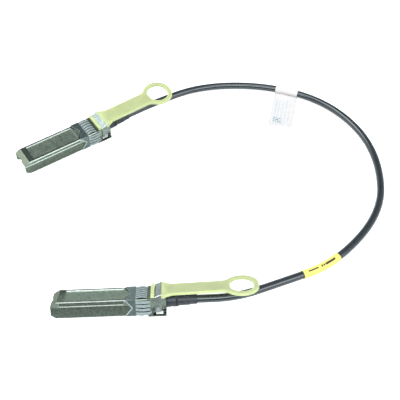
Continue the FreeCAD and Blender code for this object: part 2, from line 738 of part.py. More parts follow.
def latch_lever(node, place):
    """Stamped lever: boss under its front tongue, pivot at its elbow, an inclined fork in each rear ear."""
    piece = Piece(node, place)
    neck = "(stop_start - lever_sheet + gap)"
    elbow = f"({PIVOT_START} + pin_diameter / 2)"
    half = LEVER_HALF
    tongue = "tongue_width / 2"
    plate = polygon(piece.sketch("XY_Plane", offset="lever_height"), [
        (LEVER_FRONT, f"0 - {tongue}"), (neck, f"0 - {tongue}"),
        (neck, f"0 - {half}"), (elbow, f"0 - {half}"),
        (elbow, half), (neck, half), (neck, tongue), (LEVER_FRONT, tongue),
    ])
    piece.feature("Pad", plate, "lever_sheet")
    ears = polygon(piece.sketch("XZ_Plane"), [
        (neck, "lever_height"), (elbow, "lever_height"),
        (LEVER_REAR, "floor"), (LEVER_REAR, "rivet_height + 2.1"),
        (f"{ARM_START} + 1.2", "rivet_height + 1.4"),
        (elbow, "pivot_height + 1.2"), (neck, "pivot_height + 1.2"),
    ])
    piece.feature("Pad", ears, f"2 * {LEVER_HALF}", both=True)
    between = rectangle(piece.sketch("XZ_Plane"), "stop_start - 2", LENGTH, LEVER_TOP, "plug_height")
    piece.feature("Pocket", between, f"2 * {LEVER_HALF} - 2 * lever_sheet", both=True)
    under = rectangle(piece.sketch("XZ_Plane"), elbow, LENGTH, "0 - 1", "plug_height")
    piece.feature("Pocket", under, f"2 * {LEVER_HALF} - 2 * lever_sheet", both=True)
    boss = polygon(piece.sketch("XZ_Plane"), [
        (BOSS_FRONT, LEVER_TOP), (BOSS_FRONT, "0"), (BOSS_REAR, "0 - boss_drop"), (BOSS_REAR, LEVER_TOP),
    ])
    piece.feature("Pad", boss, "boss_width", both=True)
    pivot = circle(piece.sketch("XZ_Plane"), PIVOT_START, "pivot_height", "pin_diameter / 2 + running")
    piece.feature("Pocket", pivot, "2 * plug_width", both=True)
    reach = f"({RIVET_X} + pull_travel - {PIVOT_START})"
    rise = "(rivet_height - pivot_height)"
    turned = "latch_angle * 1deg"
    fork_end = (
        f"{PIVOT_START} + {reach} * cos({turned}) - {rise} * sin({turned}) + 2 * rivet_diameter",
        f"pivot_height + {reach} * sin({turned}) + {rise} * cos({turned})"
        f" + 2 * rivet_diameter * ({reach} * sin({turned}) + {rise} * (cos({turned}) - 1))"
        f" / ({reach} * cos({turned}) - {rise} * sin({turned}) - {RIVET_X} + {PIVOT_START})",
    )
    fork = slot(
        piece.sketch("XZ_Plane"), (RIVET_X, "rivet_height"), fork_end, "rivet_diameter / 2 + gap"
    )
    piece.feature("Pocket", fork, "2 * plug_width", both=True)
    return piece.body


def lever_pin(node, place):
    """The lever's pivot pin, pressed into both side walls of the lower shell."""
    piece = Piece(node, place)
    section = circle(piece.sketch("XZ_Plane"), PIVOT_START, "pivot_height", "pin_diameter / 2")
    piece.feature("Pad", section, "plug_width", both=True)
    return piece.body


def latch_spring(node, place):
    """Leaf spring: foot on the floor under the card, a crest, and a tip pressing on the lever's tongue."""
    piece = Piece(node, place)
    crest = (f"{LEVER_FRONT} + 0.6", "floor + 0.9")
    tip = (f"{BOSS_REAR} - 0.6", LEVER_TOP)
    side = polygon(piece.sketch("XZ_Plane"), [
        (f"{LEVER_FRONT} - 4", "floor"),
        (f"{LEVER_FRONT} - 1", "floor"),
        crest,
        tip,
        (f"{tip[0]} + spring_sheet", f"{tip[1]} + spring_sheet"),
        (f"{crest[0]} + spring_sheet / 2", f"{crest[1]} + spring_sheet * 1.2"),
        (f"{LEVER_FRONT} - 1 - spring_sheet / 2", "floor + spring_sheet"),
        (f"{LEVER_FRONT} - 4", "floor + spring_sheet"),
    ])
    piece.feature("Pad", side, "spring_width", both=True)
    return piece.body


def yoke(node, place):
    """Bent plate: inclined bridge over the plug and an arm down each side with a rounded end."""
    piece = Piece(node, place)
    arch = polygon(piece.sketch("XZ_Plane"), [
        (ARM_START, "rivet_height"), (ARM_START, YOKE_FRONT),
        (ARM_END, f"{YOKE_FRONT} + yoke_rise"), (ARM_END, "rivet_height"),
    ])
    piece.feature("Pad", arch, f"2 * {YOKE_HALF}", both=True)
    lug = circle(piece.sketch("XZ_Plane"), RIVET_X, "rivet_height", "arm_width / 2")
    piece.feature("Pad", lug, f"2 * {YOKE_HALF}", both=True)
    inside = polygon(piece.sketch("XZ_Plane"), [
        (f"{ARM_START} - 1", "0 - 3"), (f"{ARM_START} - 1", f"{YOKE_UNDER} - {YOKE_SLOPE}"),
        (f"{ARM_END} + 1", f"{YOKE_UNDER} + yoke_rise + {YOKE_SLOPE}"), (f"{ARM_END} + 1", "0 - 3"),
    ])
    piece.feature("Pocket", inside, f"2 * {YOKE_HALF} - 2 * yoke_sheet", both=True)
    holes = circle(piece.sketch("XZ_Plane"), RIVET_X, "rivet_height", "rivet_diameter / 2")
    piece.feature("Pocket", holes, f"4 * {YOKE_HALF}", both=True)
    return piece.body


def yoke_rivets(node, place):
    """A rivet at each arm's lower end: head outside, shank through the shell's slot into the lever's fork."""
    members = []
    inner = f"{LEVER_HALF} - lever_sheet - gap"
    for name, side in (("near", -1), ("far", 1)):
        shank = doc.addObject("Part::Cylinder", f"{node}_shank_{name}")
        shank.setExpression("Radius", bound("rivet_diameter / 2"))
        shank.setExpression("Height", bound(f"{YOKE_HALF} - ({inner})"))
        head = doc.addObject("Part::Cylinder", f"{node}_head_{name}")
        head.setExpression("Radius", bound("rivet_head / 2"))
        head.setExpression("Height", bound("rivet_head_height"))
        for cylinder, start in ((shank, inner), (head, YOKE_HALF)):
            cylinder.Placement.Rotation = FreeCAD.Rotation(FreeCAD.Vector(1, 0, 0), -90 * side)
            cylinder.setExpression("Placement.Base.x", bound(RIVET_X))
            cylinder.setExpression("Placement.Base.y", bound(f"{side} * ({start})"))
            cylinder.setExpression("Placement.Base.z", bound("rivet_height"))
        rivet = doc.addObject("Part::Fuse", f"{node}_{name}")
        rivet.Base = shank
        rivet.Tool = head
        members.append(rivet)
    return group(node, place, members)


def pull_tab(node, place):
    """Moulded tab: bar and root joined under the yoke's bridge, flared strap with rims, oval finger ring."""
    piece = Piece(node, place)
    beyond = f"({ROOT_START} + gap)"
    for sign in ("", "0 - "):
        web = polygon(piece.sketch("XZ_Plane", offset=f"{sign}web_offset"), [
            (f"{WAIST_START} + gap", ROOT_LOW),
            (beyond, ROOT_LOW),
            (beyond, f"{YOKE_UNDER} - running + ({beyond} - {ARM_START}) * {YOKE_SLOPE}"),
            (ARM_START, f"{YOKE_UNDER} - running"),
            (f"{ARM_START} - running", f"{YOKE_UNDER} - running"),
            (f"{ARM_START} - running", f"{BAR_LOW} + bar_thickness / 2"),
            (f"{WAIST_START} + gap", f"{BAR_LOW} + bar_thickness / 2"),
        ])
        piece.feature("Pad", web, "web_width", both=True)
    bar = rectangle(
        piece.sketch("XZ_Plane"), BAR_START, f"{BAR_START} + bar_length", BAR_LOW, BAR_TOP
    )
    piece.feature("Pad", bar, f"2 * {ROOT_HALF}", both=True)
    root = rectangle(piece.sketch("XZ_Plane"), ROOT_START, ROOT_END, ROOT_LOW, ROOT_TOP)
    piece.feature("Pad", root, f"2 * {ROOT_HALF}", both=True)
    half = "strap_width / 2"
    plan = polygon(piece.sketch("XY_Plane", offset=STRAP_BASE, tilt="strap_tilt"), [
        (f"{ROOT_START} + running", f"0 - {ROOT_HALF}"),
        (f"{ROOT_END} + gap", f"0 - {ROOT_HALF}"),
        (f"{ROOT_END} + strap_flare", f"0 - {half}"),
        (RING_CENTRE, f"0 - {half}"),
        (RING_CENTRE, half),
        (f"{ROOT_END} + strap_flare", half),
        (f"{ROOT_END} + gap", ROOT_HALF),
        (f"{ROOT_START} + running", ROOT_HALF),
    ])
    piece.feature("Pad", plan, "strap_thickness")

    def ring(radius, offset=STRAP_BASE, drawing=None):
        """The oval of a given radius about the ring's centre, on the strap's plane."""
        drawing = drawing or piece.sketch("XY_Plane", offset=offset, tilt="strap_tilt")
        half = "ring_straight / 2"
        return slot(drawing, (RING_CENTRE, f"0 - {half}"), (RING_CENTRE, half), radius)

    piece.feature("Pad", ring("ring_outer / 2"), "strap_thickness")
    corner, near = value(half), value(f"{RING_CENTRE} - ring_outer / 2")
    piece.fillet(
        "ring_fillet",
        lambda edge: len(edge.Vertexes) == 2
        and all(
            abs(abs(vertex.Point.y) - corner) < 0.01 and near - 0.5 < vertex.Point.x < near + 4
            for vertex in edge.Vertexes
        )
        and abs(edge.Vertexes[0].Point.y - edge.Vertexes[1].Point.y) < 0.01
        and abs(edge.Vertexes[0].Point.x - edge.Vertexes[1].Point.x) < 0.2,
    )
    piece.feature("Pocket", ring("ring_inner / 2"), "4 * strap_thickness", both=True)
    top = f"({STRAP_BASE} + strap_thickness)"
    channel = ring("ring_outer / 2 - strap_rim", offset=top)
    ring("ring_inner / 2 + strap_rim", drawing=channel)
    piece.feature("Pocket", channel, "rim_height")
    panel_end = f"({RING_CENTRE} - ring_inner / 2 - strap_rim - 2 * gap)"
    panel = rectangle(
        piece.sketch("XY_Plane", offset=top, tilt="strap_tilt"),
        f"{ROOT_END} + strap_rim", panel_end, f"0 - {half} + strap_rim", f"{half} - strap_rim",
    )
    piece.feature("Pocket", panel, "rim_height")
    return piece.body


PLUG_PIECES = {
    "lower_shell": lower_shell,
    "upper_shell": upper_shell,
    "emi_collar": emi_collar,
    "paddle_card": paddle_card,
    "card_contacts": card_contacts,
    "wire_cores": wire_cores,
    "crimp_ferrule": crimp_ferrule,
    "strain_relief": strain_relief,
    "latch_lever": latch_lever,
    "lever_pin": lever_pin,
    "latch_spring": latch_spring,
    "yoke": yoke,
    "yoke_rivets": yoke_rivets,
    "pull_tab": pull_tab,
}

# Plug a lies flat on its rear plate; plug b is rolled by the stiff cable onto the far edge of its rear plate.
roll = math.radians(value("plug_b_roll"))
lift_b = value(HALF) * math.sin(abs(roll)) + value("rear_drop") * math.cos(roll)
PLACES = {
    "a": FreeCAD.Placement(
        FreeCAD.Vector(value("plug_a_x"), value("plug_a_y"), value("rear_drop")),
        FreeCAD.Rotation(FreeCAD.Vector(0, 0, 1), value("plug_a_yaw")),
    ),
    "b": FreeCAD.Placement(
        FreeCAD.Vector(value("plug_b_x"), value("plug_b_y"), lift_b),
        FreeCAD.Rotation(FreeCAD.Vector(1, 0, 0), value("plug_b_roll")),
    ),
}

nodes = []
for side, place in PLACES.items():
    for name, make in PLUG_PIECES.items():
        nodes.append(make(f"{name}_{side}", place))

# The cable's route between the plugs, measured from the nose of plug b at table height.
ROUTE = [
    (80.4, 164.9, 2.8),
    (119.5, 164.8, 2.5),
    (154.6, 150.9, 2.5),
    (176.1, 124.9, 2.4),
    (183.5, 93.6, 2.4),
    (177.2, 56.7, 2.4),
    (146.1, 23.8, 2.4),
    (114.0, 11.2, 5.0),
]


def on_axis(place, along, aside=0.0):
    """A point on the axis of a plug's cable, or a little aside of it."""
    return place.multVec(FreeCAD.Vector(along, aside, value("cable_height")))


# The cable leaves each boot straight, so the first two points lie on the axis and the third nearly so.
FIRST_POINTS = ((0, 0.0), (18.5, 0.0), (41, 0.15))
start = value(CABLE_START)
origin = FreeCAD.Vector(value("plug_b_x"), value("plug_b_y"), 0)
leaving_a = [on_axis(PLACES["a"], start + along, aside) for along, aside in FIRST_POINTS]
leaving_b = [on_axis(PLACES["b"], start + along, aside) for along, aside in FIRST_POINTS]
route = leaving_a + [origin + FreeCAD.Vector(*point) for point in ROUTE] + leaving_b[::-1]
cable_edges, radii = path_of(route)
cable_radius = value("cable_diameter") / 2
nodes.append(feature("cable", tube(cable_edges, cable_radius)))
print("cable", round(sum(edge.Length for edge in cable_edges), 1), "mm, radii", [round(r) for r in radii])


def stretch(edges, start, end):
    """The part of a chain of edges between two lengths along it."""
    kept = []
    passed = 0.0
    for edge in edges:
        low, high = max(start - passed, 0.0), min(end - passed, edge.Length)
        if high > low:
            first, last = edge.getParameterByLength(low), edge.getParameterByLength(high)
            kept.append(edge.Curve.toShape(first, last))
        passed += edge.Length
    return kept


def nearest_length(edges, point):
    """How far along a chain of edges it comes closest to a point."""
    best, passed = (math.inf, 0.0), 0.0
    for edge in edges:
        parameter = edge.Curve.parameter(point)
        parameter = min(max(parameter, edge.FirstParameter), edge.LastParameter)
        distance = edge.valueAt(parameter).distanceToPoint(point)
        share = (parameter - edge.FirstParameter) / (edge.LastParameter - edge.FirstParameter)
        if distance < best[0]:
            best = (distance, passed + share * edge.Length)
        passed += edge.Length
    return best[1]


def sleeve(middle, length):
    """Film wrapped once round the cable, over a length about a point beside it."""
    centre = nearest_length(cable_edges, origin + FreeCAD.Vector(*middle))
    part = stretch(cable_edges, centre - length / 2, centre + length / 2)
    inner = cable_radius + value("fit")
    return tube(part, inner + value("film")).cut(tube(part, inner)), part


# The flag is a film folded over the cable, with its two halves stuck together and lying on the table.
FLAG_MIDDLE = (135.2, 158.2, 2.5)
FLAG_TURN = -13.0
film = value("film")
flag_sleeve, flag_part = sleeve(FLAG_MIDDLE, value("flag_width"))
flag_middle = origin + FreeCAD.Vector(FLAG_MIDDLE[0], FLAG_MIDDLE[1], 0)
flag_panel = Part.makeBox(value("flag_width"), value("flag_length"), 2 * film)
flag_panel.translate(FreeCAD.Vector(-value("flag_width") / 2, -value("flag_length"), 0))
flag_panel.rotate(FreeCAD.Vector(0, 0, 0), FreeCAD.Vector(0, 0, 1), FLAG_TURN)
flag_panel.translate(flag_middle)
flag_core = tube(flag_part, cable_radius + value("fit"))
nodes.append(feature("flag_label", flag_sleeve.fuse(flag_panel.cut(flag_core))))

WRAP_MIDDLE = (137.4, 22.4, 2.5)
nodes.append(feature("wrap_label", sleeve(WRAP_MIDDLE, value("wrap_length"))[0]))

doc.recompute()
for thing in doc.Objects:
    if any(word in state for state in thing.State for word in ("Invalid", "Error")):
        raise RuntimeError(f"{thing.Name} failed: {thing.State}")
for node in nodes:
    if node.Shape.isNull() or not node.Shape.isValid():
        raise RuntimeError(f"{node.Label} has no valid shape")

os.makedirs("parts", exist_ok=True)
for node in nodes:
    node.Shape.exportStep(f"parts/{node.Label}.step")
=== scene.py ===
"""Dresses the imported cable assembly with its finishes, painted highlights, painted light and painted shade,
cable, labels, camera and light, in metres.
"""

import json
import math

import bmesh
import bpy
from mathutils import Matrix, Vector


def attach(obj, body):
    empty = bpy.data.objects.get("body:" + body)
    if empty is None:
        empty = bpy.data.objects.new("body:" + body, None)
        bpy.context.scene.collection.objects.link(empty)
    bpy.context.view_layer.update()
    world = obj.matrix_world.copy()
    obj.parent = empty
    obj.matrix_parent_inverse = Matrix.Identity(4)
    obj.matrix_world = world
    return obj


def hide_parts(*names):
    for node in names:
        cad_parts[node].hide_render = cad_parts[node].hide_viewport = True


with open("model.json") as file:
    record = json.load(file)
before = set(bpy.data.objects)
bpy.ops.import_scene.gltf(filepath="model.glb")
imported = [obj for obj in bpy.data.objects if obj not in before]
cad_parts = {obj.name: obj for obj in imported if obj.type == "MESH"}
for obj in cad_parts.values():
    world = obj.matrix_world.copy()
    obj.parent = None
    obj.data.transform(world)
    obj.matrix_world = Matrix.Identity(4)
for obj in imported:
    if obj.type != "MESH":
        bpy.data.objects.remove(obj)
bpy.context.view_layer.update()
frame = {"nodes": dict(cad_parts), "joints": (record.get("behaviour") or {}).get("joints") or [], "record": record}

MM = 0.001

# A plug's body, in its own millimetres: x from its nose, y across, z up from its underside

BODY_HEIGHT = 8.55
MID_HEIGHT = BODY_HEIGHT / 2
PANEL_HALF = 5.625
PANEL_INSET = 0.5
COLLAR_START = 36.2
COLLAR_HALF = 4.325
SIDE_NOTCH = 3.5
NOTCH_RIM = 0.4
NOTCH_ACROSS = Vector((COLLAR_HALF, 0, SIDE_NOTCH)).normalized()

# Limits, in the same millimetres, by which faces and edges are chosen

TOP_LEVEL = 8.4
EDGE_ASIDE = 6.2
EDGE_ENDS = (2.0, 47.0)
# Heights above which the long chamfers take a painted highlight line
LINE_LEVELS = {"upper_shell": 8.32, "lower_shell": 5.97}
GROOVE_ENDS = (4.6, 35.6)
UPPER_SIDE_ASIDE = 6.0
UPPER_SIDE_LEVEL = 6.1
PANEL_ENDS = (6.0, 36.9)
PANEL_ASIDE = 5.9
PANEL_LEVEL = 7.9
PANEL_END_WALL = 34.0
PANEL_SIDE_WALL = 4.9
NOSE_END = 1.9
NOSE_EDGE_END = 2.4
NOSE_EDGE_ASIDE = 6.7
COLLAR_BAND_END = 41.6
FINGER_LEVEL = 4.3
YOKE_EDGE_ASIDE = 6.8
YOKE_EDGE_LEVEL = 9.0
NEAR = 0.05
SHORTEST_EDGE = 0.4

# A face is flat, faces a way, or leans out or up where that part of its direction is more than this

FLAT = 0.95
FACING = 0.5
LEAN_OUT = 0.4
LEAN_UP = 0.3
SHARP_ANGLE = math.radians(28)

# The cable, with its route in millimetres

CABLE_ROUTE = [
    (-19.883, 50.549, 5.2),
    (-4.092, 60.188, 5.2),
    (15.036, 72.039, 5.2),
    (44.458, 88.682, 2.8),
    (83.558, 88.582, 2.5),
    (118.658, 74.682, 2.5),
    (140.158, 48.682, 2.4),
    (147.558, 17.382, 2.4),
    (141.258, -19.518, 2.4),
    (110.158, -52.418, 2.4),
    (78.058, -65.018, 5.0),
    (55.858, -74.025, 7.782),
    (33.358, -74.156, 7.856),
    (14.858, -74.156, 7.856),
]
CABLE_DIAMETER = 4.2 * MM

# Yellow wrap: the levels of its turn, the step at its seam and its lap count in thicknesses of the film

FILM = 0.15 * MM
FIT = 0.02 * MM
FILM_RADIUS = CABLE_DIAMETER / 2 + FIT
WRAP_MIDDLE = Vector((101.458, -53.818, 2.5)) * MM
WRAP_LENGTH = 23.6 * MM
WRAP_SEAM = 2.2
WRAP_LAP = 4
WRAP_LAYERS = (0.6, 0.9, 1.15)

# White flag: its fold round the cable, the fall of its tail to the table and the curl at its end

FLAG_MIDDLE = Vector((99.258, 81.982, 2.5)) * MM
FLAG_WIDTH = 14.6 * MM
FLAG_LENGTH = 31.0 * MM
FLAG_TURN = math.radians(-13.0)
FOLD_START = math.radians(-62)
FOLD_SWEEP = math.radians(277)
TAIL_FALL = 9
TAIL_REST = 0.15 * MM
TAIL_LIFT = 0.12 * MM
CURL_START = 0.72
CURL_HEIGHT = 0.5 * MM
CURL_SPREAD = 0.08

# Printed bars: window as left, right, low and high shares of the film, rows, columns, share inked, ink

FAINT_INK = (0.40, 0.51, 0.55)
DARK_INK = (0.10, 0.24, 0.30)
BLACK_INK = (0.05, 0.045, 0.03)
FLAG_PRINT = [
    ((0.14, 0.20, 0.10, 0.47), 60, 17, 0.8, FAINT_INK),
    ((0.27, 0.32, 0.14, 0.45), 60, 17, 0.75, FAINT_INK),
    ((0.44, 0.49, 0.06, 0.42), 60, 19, 0.7, FAINT_INK),
    ((0.60, 0.65, 0.06, 0.45), 60, 19, 0.7, FAINT_INK),
    ((0.16, 0.52, 0.06, 0.15), 40, 20, 0.55, DARK_INK),
    ((0.76, 0.80, 0.10, 0.40), 60, 23, 0.6, FAINT_INK),
]
WRAP_PRINT = [
    ((0.12, 0.38, 0.60, 0.655), 5.6, 62, 0.86, BLACK_INK),
    ((0.46, 0.86, 0.59, 0.675), 5.6, 54, 0.93, BLACK_INK),
]
BAR_HALF = 0.28

# Floor and room

FLOOR_SIZE = 6
FLOOR_LEVEL = -0.02 * MM
FLOOR_GREY = (0.86, 0.86, 0.86)
FLOOR_LIFT = 0.58
ROOM_COLOUR = (0.9, 0.96, 1.0, 1)
ROOM_LEVEL = 0.5

# Patches of the room: direction, the cosines to it at which they begin and are full, and their brightness

ROOM_PATCHES = [
    ((-0.56, 0.16, 0.80), 0.87, 0.96, 8.0),
    ((-0.94, 0.06, 0.33), 0.82, 0.95, 1.4),
    ((-0.05, 0.99, 0.08), 0.93, 0.99, 1.8),
    ((0.0, -0.98, 0.14), 0.40, 0.85, 0.04),
    ((-0.13, 0.66, 0.74), 0.88, 0.98, 0.36),
    ((0.60, -0.50, 0.62), 0.90, 0.97, 5.0),
]

# Soft boxes: place, width, depth, watts and colour

LAMP_TARGET = Vector((0.03, 0.0, 0.0))
LAMPS = {
    "lamp_above": ((0.02, -0.06, 0.95), 0.5, 0.5, 2.0, (1, 1, 1)),
    "lamp_front": ((0.03, -0.64, 0.72), 1.3, 0.32, 8.0, (0.88, 0.97, 1.0)),
    "lamp_right": ((0.75, -0.42, 0.5), 0.5, 0.5, 1.5, (1, 1, 1)),
}

# Camera, with its place across the floor counted from the nose of plug b

CAMERA_FROM_NOSE = (65.2 * MM, -183.2 * MM)
CAMERA_HEIGHT = 313.1 * MM
CAMERA_TILT = math.radians(90 - 50.8)
CAMERA_TURN = math.radians(-2.5)
CAMERA_LENS = 63.8


# Frames and objects

def plug_frame(side):
    """A plug's own frame: x from its nose to its cable, y across, z up from the underside of its body."""
    joints = {joint["name"]: joint for joint in frame["joints"]}
    mounts = {mount["name"]: mount for mount in frame["record"]["mounts"]}
    ahead = Vector(joints[f"pull_slide_{side}"]["axis"])
    across = Vector(joints[f"latch_tilt_{side}"]["axis"])
    up = ahead.cross(across)
    origin = Vector(mounts[f"cage_slide_{side}"]["pos_m"]) - up * (BODY_HEIGHT * MM) / 2
    turned = Matrix((ahead, across, up)).transposed().to_4x4()
    return Matrix.Translation(origin) @ turned


PLUGS = {side: plug_frame(side) for side in "ab"}


def body_of(node):
    """The body that a CAD node belongs to."""
    return next(name for name, members in frame["record"]["behaviour"]["bodies"].items() if node in members)


def new_object(name, data):
    """An object in the scene's own collection."""
    made = bpy.data.objects.new(name, data)
    bpy.context.scene.collection.objects.link(made)
    return made


# Shader nodes

def new_material(name, colour, roughness, metallic=0.0):
    """A material with one principled shader; returns it with its node tree and that shader."""
    made = bpy.data.materials.new(name)
    made.use_nodes = True
    tree = made.node_tree
    shader = tree.nodes["Principled BSDF"]
    set_inputs(shader, Base_Color=(*colour, 1), Roughness=roughness, Metallic=metallic)
    return made, tree, shader


def set_inputs(node, **values):
    """Plain numbers and colours on a node's own sockets."""
    for key, value in values.items():
        node.inputs[key.replace("_", " ")].default_value = value


def add_node(tree, kind, links=None, **settings):
    """A node with its properties and plain inputs set by name, and other inputs linked from sockets."""
    node = tree.nodes.new(kind)
    for key, setting in settings.items():
        if hasattr(node, key):
            setattr(node, key, setting)
        else:
            set_inputs(node, **{key: setting})
    for key, socket in (links or {}).items():
        tree.links.new(socket, node.inputs[key])
    return node


def calculate(tree, operation, *parts):
    """The result of a Math node on sockets and plain numbers."""
    node = add_node(tree, "ShaderNodeMath", operation=operation)
    for place, part in zip(node.inputs, parts):
        if isinstance(part, (int, float)):
            place.default_value = part
        else:
            tree.links.new(part, place)
    return node.outputs["Value"]


def in_millimetres(tree, stretch=(1, 1, 1), turn=(0, 0, 0)):
    """Object coordinates counted in millimetres."""
    place = add_node(tree, "ShaderNodeTexCoord").outputs["Object"]
    scale = [share / MM for share in stretch]
    mapping = add_node(tree, "ShaderNodeMapping", links={"Vector": place}, Scale=scale, Rotation=turn)
    return mapping.outputs["Vector"]


def noise(tree, vector, scale, detail=4.0, roughness=0.6):
    """A cloud factor; scale counts its lumps in a millimetre."""
    return add_node(
        tree, "ShaderNodeTexNoise", links={"Vector": vector}, Scale=scale, Detail=detail, Roughness=roughness
    ).outputs["Fac"]


def ramp(tree, factor, stops):
    """A colour ramp through (place, colour) stops."""
    node = add_node(tree, "ShaderNodeValToRGB", links={"Fac": factor})
    elements = node.color_ramp.elements
    while len(elements) < len(stops):
        elements.new(0.5)
    for element, (place, colour) in zip(elements, stops):
        element.position = place
        element.color = (*colour, 1)
    return node.outputs["Color"]


def vary_colour(tree, shader, factor, stops):
    """Base colour through (place, colour) stops of a factor."""
    tree.links.new(ramp(tree, factor, stops), shader.inputs["Base Color"])


def vary_roughness(tree, shader, factor, low, high):
    """Roughness from low to high as a factor goes from 0 to 1."""
    between = add_node(tree, "ShaderNodeMapRange", links={"Value": factor}, To_Min=low, To_Max=high)
    tree.links.new(between.outputs["Result"], shader.inputs["Roughness"])


def bump(tree, shader, height, distance, strength):
    """Fine relief of a surface, from a height factor."""
    node = add_node(tree, "ShaderNodeBump", links={"Height": height}, Strength=strength, Distance=distance)
    tree.links.new(node.outputs["Normal"], shader.inputs["Normal"])


def shade(colour, factor):
    """A colour made darker or lighter by a factor."""
    return tuple(min(part * factor, 1.0) for part in colour)


# Materials

def cast_metal(name, colour, pebbles, dull, metallic=0.85):
    """Plated die casting: cloudy stains, a fine pebbled grain and a roughness that varies with them."""
    made, tree, shader = new_material(name, colour, 0.4, metallic)
    place = in_millimetres(tree)
    cloud = noise(tree, place, 0.6, detail=5.0, roughness=0.7)
    grain = noise(tree, place, 2.4, detail=3.0, roughness=0.75)
    mixed = calculate(tree, "MULTIPLY", calculate(tree, "ADD", cloud, grain), 0.5)
    vary_colour(
        tree, shader, mixed, [(0.38, shade(colour, 0.62)), (0.5, colour), (0.62, shade(colour, 1.4))]
    )
    vary_roughness(tree, shader, mixed, 0.22 * dull, 0.42 * dull)
    set_inputs(shader, Specular_Tint=(0.35, 0.38, 0.35, 1))
    bump(tree, shader, grain, 0.04 * MM, 0.7 * pebbles)
    return made


def painted_highlight(name, colour, metallic=0.4):
    """Painted highlight: plating coloured brighter and made smoother, as along edges where light would catch it.
    """
    made, tree, shader = new_material(name, colour, 0.4, metallic)
    # Painted highlight, mottled at random, smoother where brighter
    highlight_mottle = noise(tree, in_millimetres(tree), 1.4)
    vary_colour(tree, shader, highlight_mottle, [(0.35, shade(colour, 0.72)), (0.6, shade(colour, 1.1))])
    vary_roughness(tree, shader, highlight_mottle, 0.5, 0.32)
    set_inputs(shader, Specular_Tint=(0.4, 0.42, 0.4, 1))
    return made


def sheet_metal(name, colour, roughness, turn=(0, 0, 0)):
    """Rolled sheet with fine drawn lines and a few darker smears."""
    made, tree, shader = new_material(name, colour, roughness, 0.85)
    lines = noise(tree, in_millimetres(tree, (0.25, 9, 9), turn), 1.0, detail=3.0)
    smears = noise(tree, in_millimetres(tree), 0.8, detail=3.0)
    vary_colour(tree, shader, smears, [(0.35, shade(colour, 0.7)), (0.6, shade(colour, 1.15))])
    vary_roughness(tree, shader, lines, roughness * 0.75, roughness * 1.35)
    bump(tree, shader, lines, 0.006 * MM, 0.5)
    return made


def soft_plastic(name, colour, roughness=0.42):
    """Soft moulding: even colour, faint flow clouding, fine spark texture, light that soaks in a little."""
    made, tree, shader = new_material(name, colour, roughness)
    place = in_millimetres(tree)
    flow = noise(tree, place, 0.22, detail=2.0)
    spark = noise(tree, place, 7.0, detail=2.0)
    vary_colour(tree, shader, flow, [(0.3, shade(colour, 0.93)), (0.7, shade(colour, 1.05))])
    vary_roughness(tree, shader, spark, roughness * 0.85, roughness * 1.2)
    set_inputs(shader, Subsurface_Weight=0.25, Subsurface_Radius=(1.0, 1.0, 0.5), Subsurface_Scale=0.6 * MM)
    bump(tree, shader, spark, 0.01 * MM, 0.4)
    return made


def black_rubber(name, colour, roughness):
    """Moulded rubber: near black, faintly dusty, with a fine matt grain."""
    made, tree, shader = new_material(name, colour, roughness)
    place = in_millimetres(tree)
    dust = noise(tree, place, 0.7, detail=5.0, roughness=0.7)
    grain = noise(tree, place, 8.0, detail=2.0)
    vary_colour(tree, shader, dust, [(0.4, shade(colour, 0.8)), (0.75, shade(colour, 1.9))])
    vary_roughness(tree, shader, dust, roughness * 0.85, roughness * 1.25)
    bump(tree, shader, grain, 0.012 * MM, 0.5)
    return made


def cable_jacket(name, colour):
    """Extruded jacket: satin under a glossy skin, with a light bloom and a faint grain."""
    made, tree, shader = new_material(name, colour, 0.3)
    place = in_millimetres(tree)
    bloom = noise(tree, place, 0.12, detail=3.0)
    grain = noise(tree, place, 5.0, detail=2.0)
    vary_colour(tree, shader, bloom, [(0.35, shade(colour, 0.8)), (0.7, shade(colour, 1.5))])
    vary_roughness(tree, shader, grain, 0.42, 0.52)
    set_inputs(shader, Specular_Tint=(0.78, 0.92, 1.0, 1), Specular_IOR_Level=0.25)
    set_inputs(shader, Coat_Weight=0.9, Coat_Roughness=0.15, Coat_IOR=1.8, Coat_Tint=(0.85, 0.95, 1.0, 1))
    bump(tree, shader, grain, 0.004 * MM, 0.4)
    return made


def circuit_board(name, colour):
    """Coated laminate with the faint lines of tracks under the coating."""
    made, tree, shader = new_material(name, colour, 0.3)
    place = in_millimetres(tree)
    tracks = add_node(
        tree, "ShaderNodeTexWave", links={"Vector": place}, Scale=0.9, Distortion=2.5, Detail=1.0
    ).outputs["Fac"]
    vary_colour(tree, shader, tracks, [(0.45, colour), (0.55, shade(colour, 1.7))])
    bump(tree, shader, tracks, 0.01 * MM, 0.5)
    return made


def plain_metal(name, colour, roughness):
    """Small plated parts: slight tarnish."""
    made, tree, shader = new_material(name, colour, roughness, 0.95)
    tarnish = noise(tree, in_millimetres(tree), 1.5)
    vary_colour(tree, shader, tarnish, [(0.35, shade(colour, 0.75)), (0.6, colour)])
    vary_roughness(tree, shader, tarnish, roughness * 1.4, roughness * 0.8)
    return made


def bars(tree, x, y, rows, columns, cover, seed):
    """Factor of generic printed bars: rows of short dashes whose lengths vary."""
    across = calculate(tree, "MULTIPLY", y, rows)
    inked = calculate(tree, "COMPARE", calculate(tree, "FRACT", across), 0.5, BAR_HALF)
    row = calculate(tree, "FLOOR", across)
    column = calculate(tree, "FLOOR", calculate(tree, "MULTIPLY", x, columns))
    cell = add_node(tree, "ShaderNodeCombineXYZ", links={"X": column, "Y": row}, Z=seed).outputs["Vector"]
    chance = add_node(tree, "ShaderNodeTexWhiteNoise", links={"Vector": cell}).outputs["Value"]
    return calculate(tree, "MULTIPLY", inked, calculate(tree, "LESS_THAN", chance, cover))


def window(tree, x, y, left, right, low, high):
    """Factor of 1 inside a rectangle of the print."""
    within_x = calculate(tree, "COMPARE", x, (left + right) / 2, (right - left) / 2)
    within_y = calculate(tree, "COMPARE", y, (low + high) / 2, (high - low) / 2)
    return calculate(tree, "MULTIPLY", within_x, within_y)


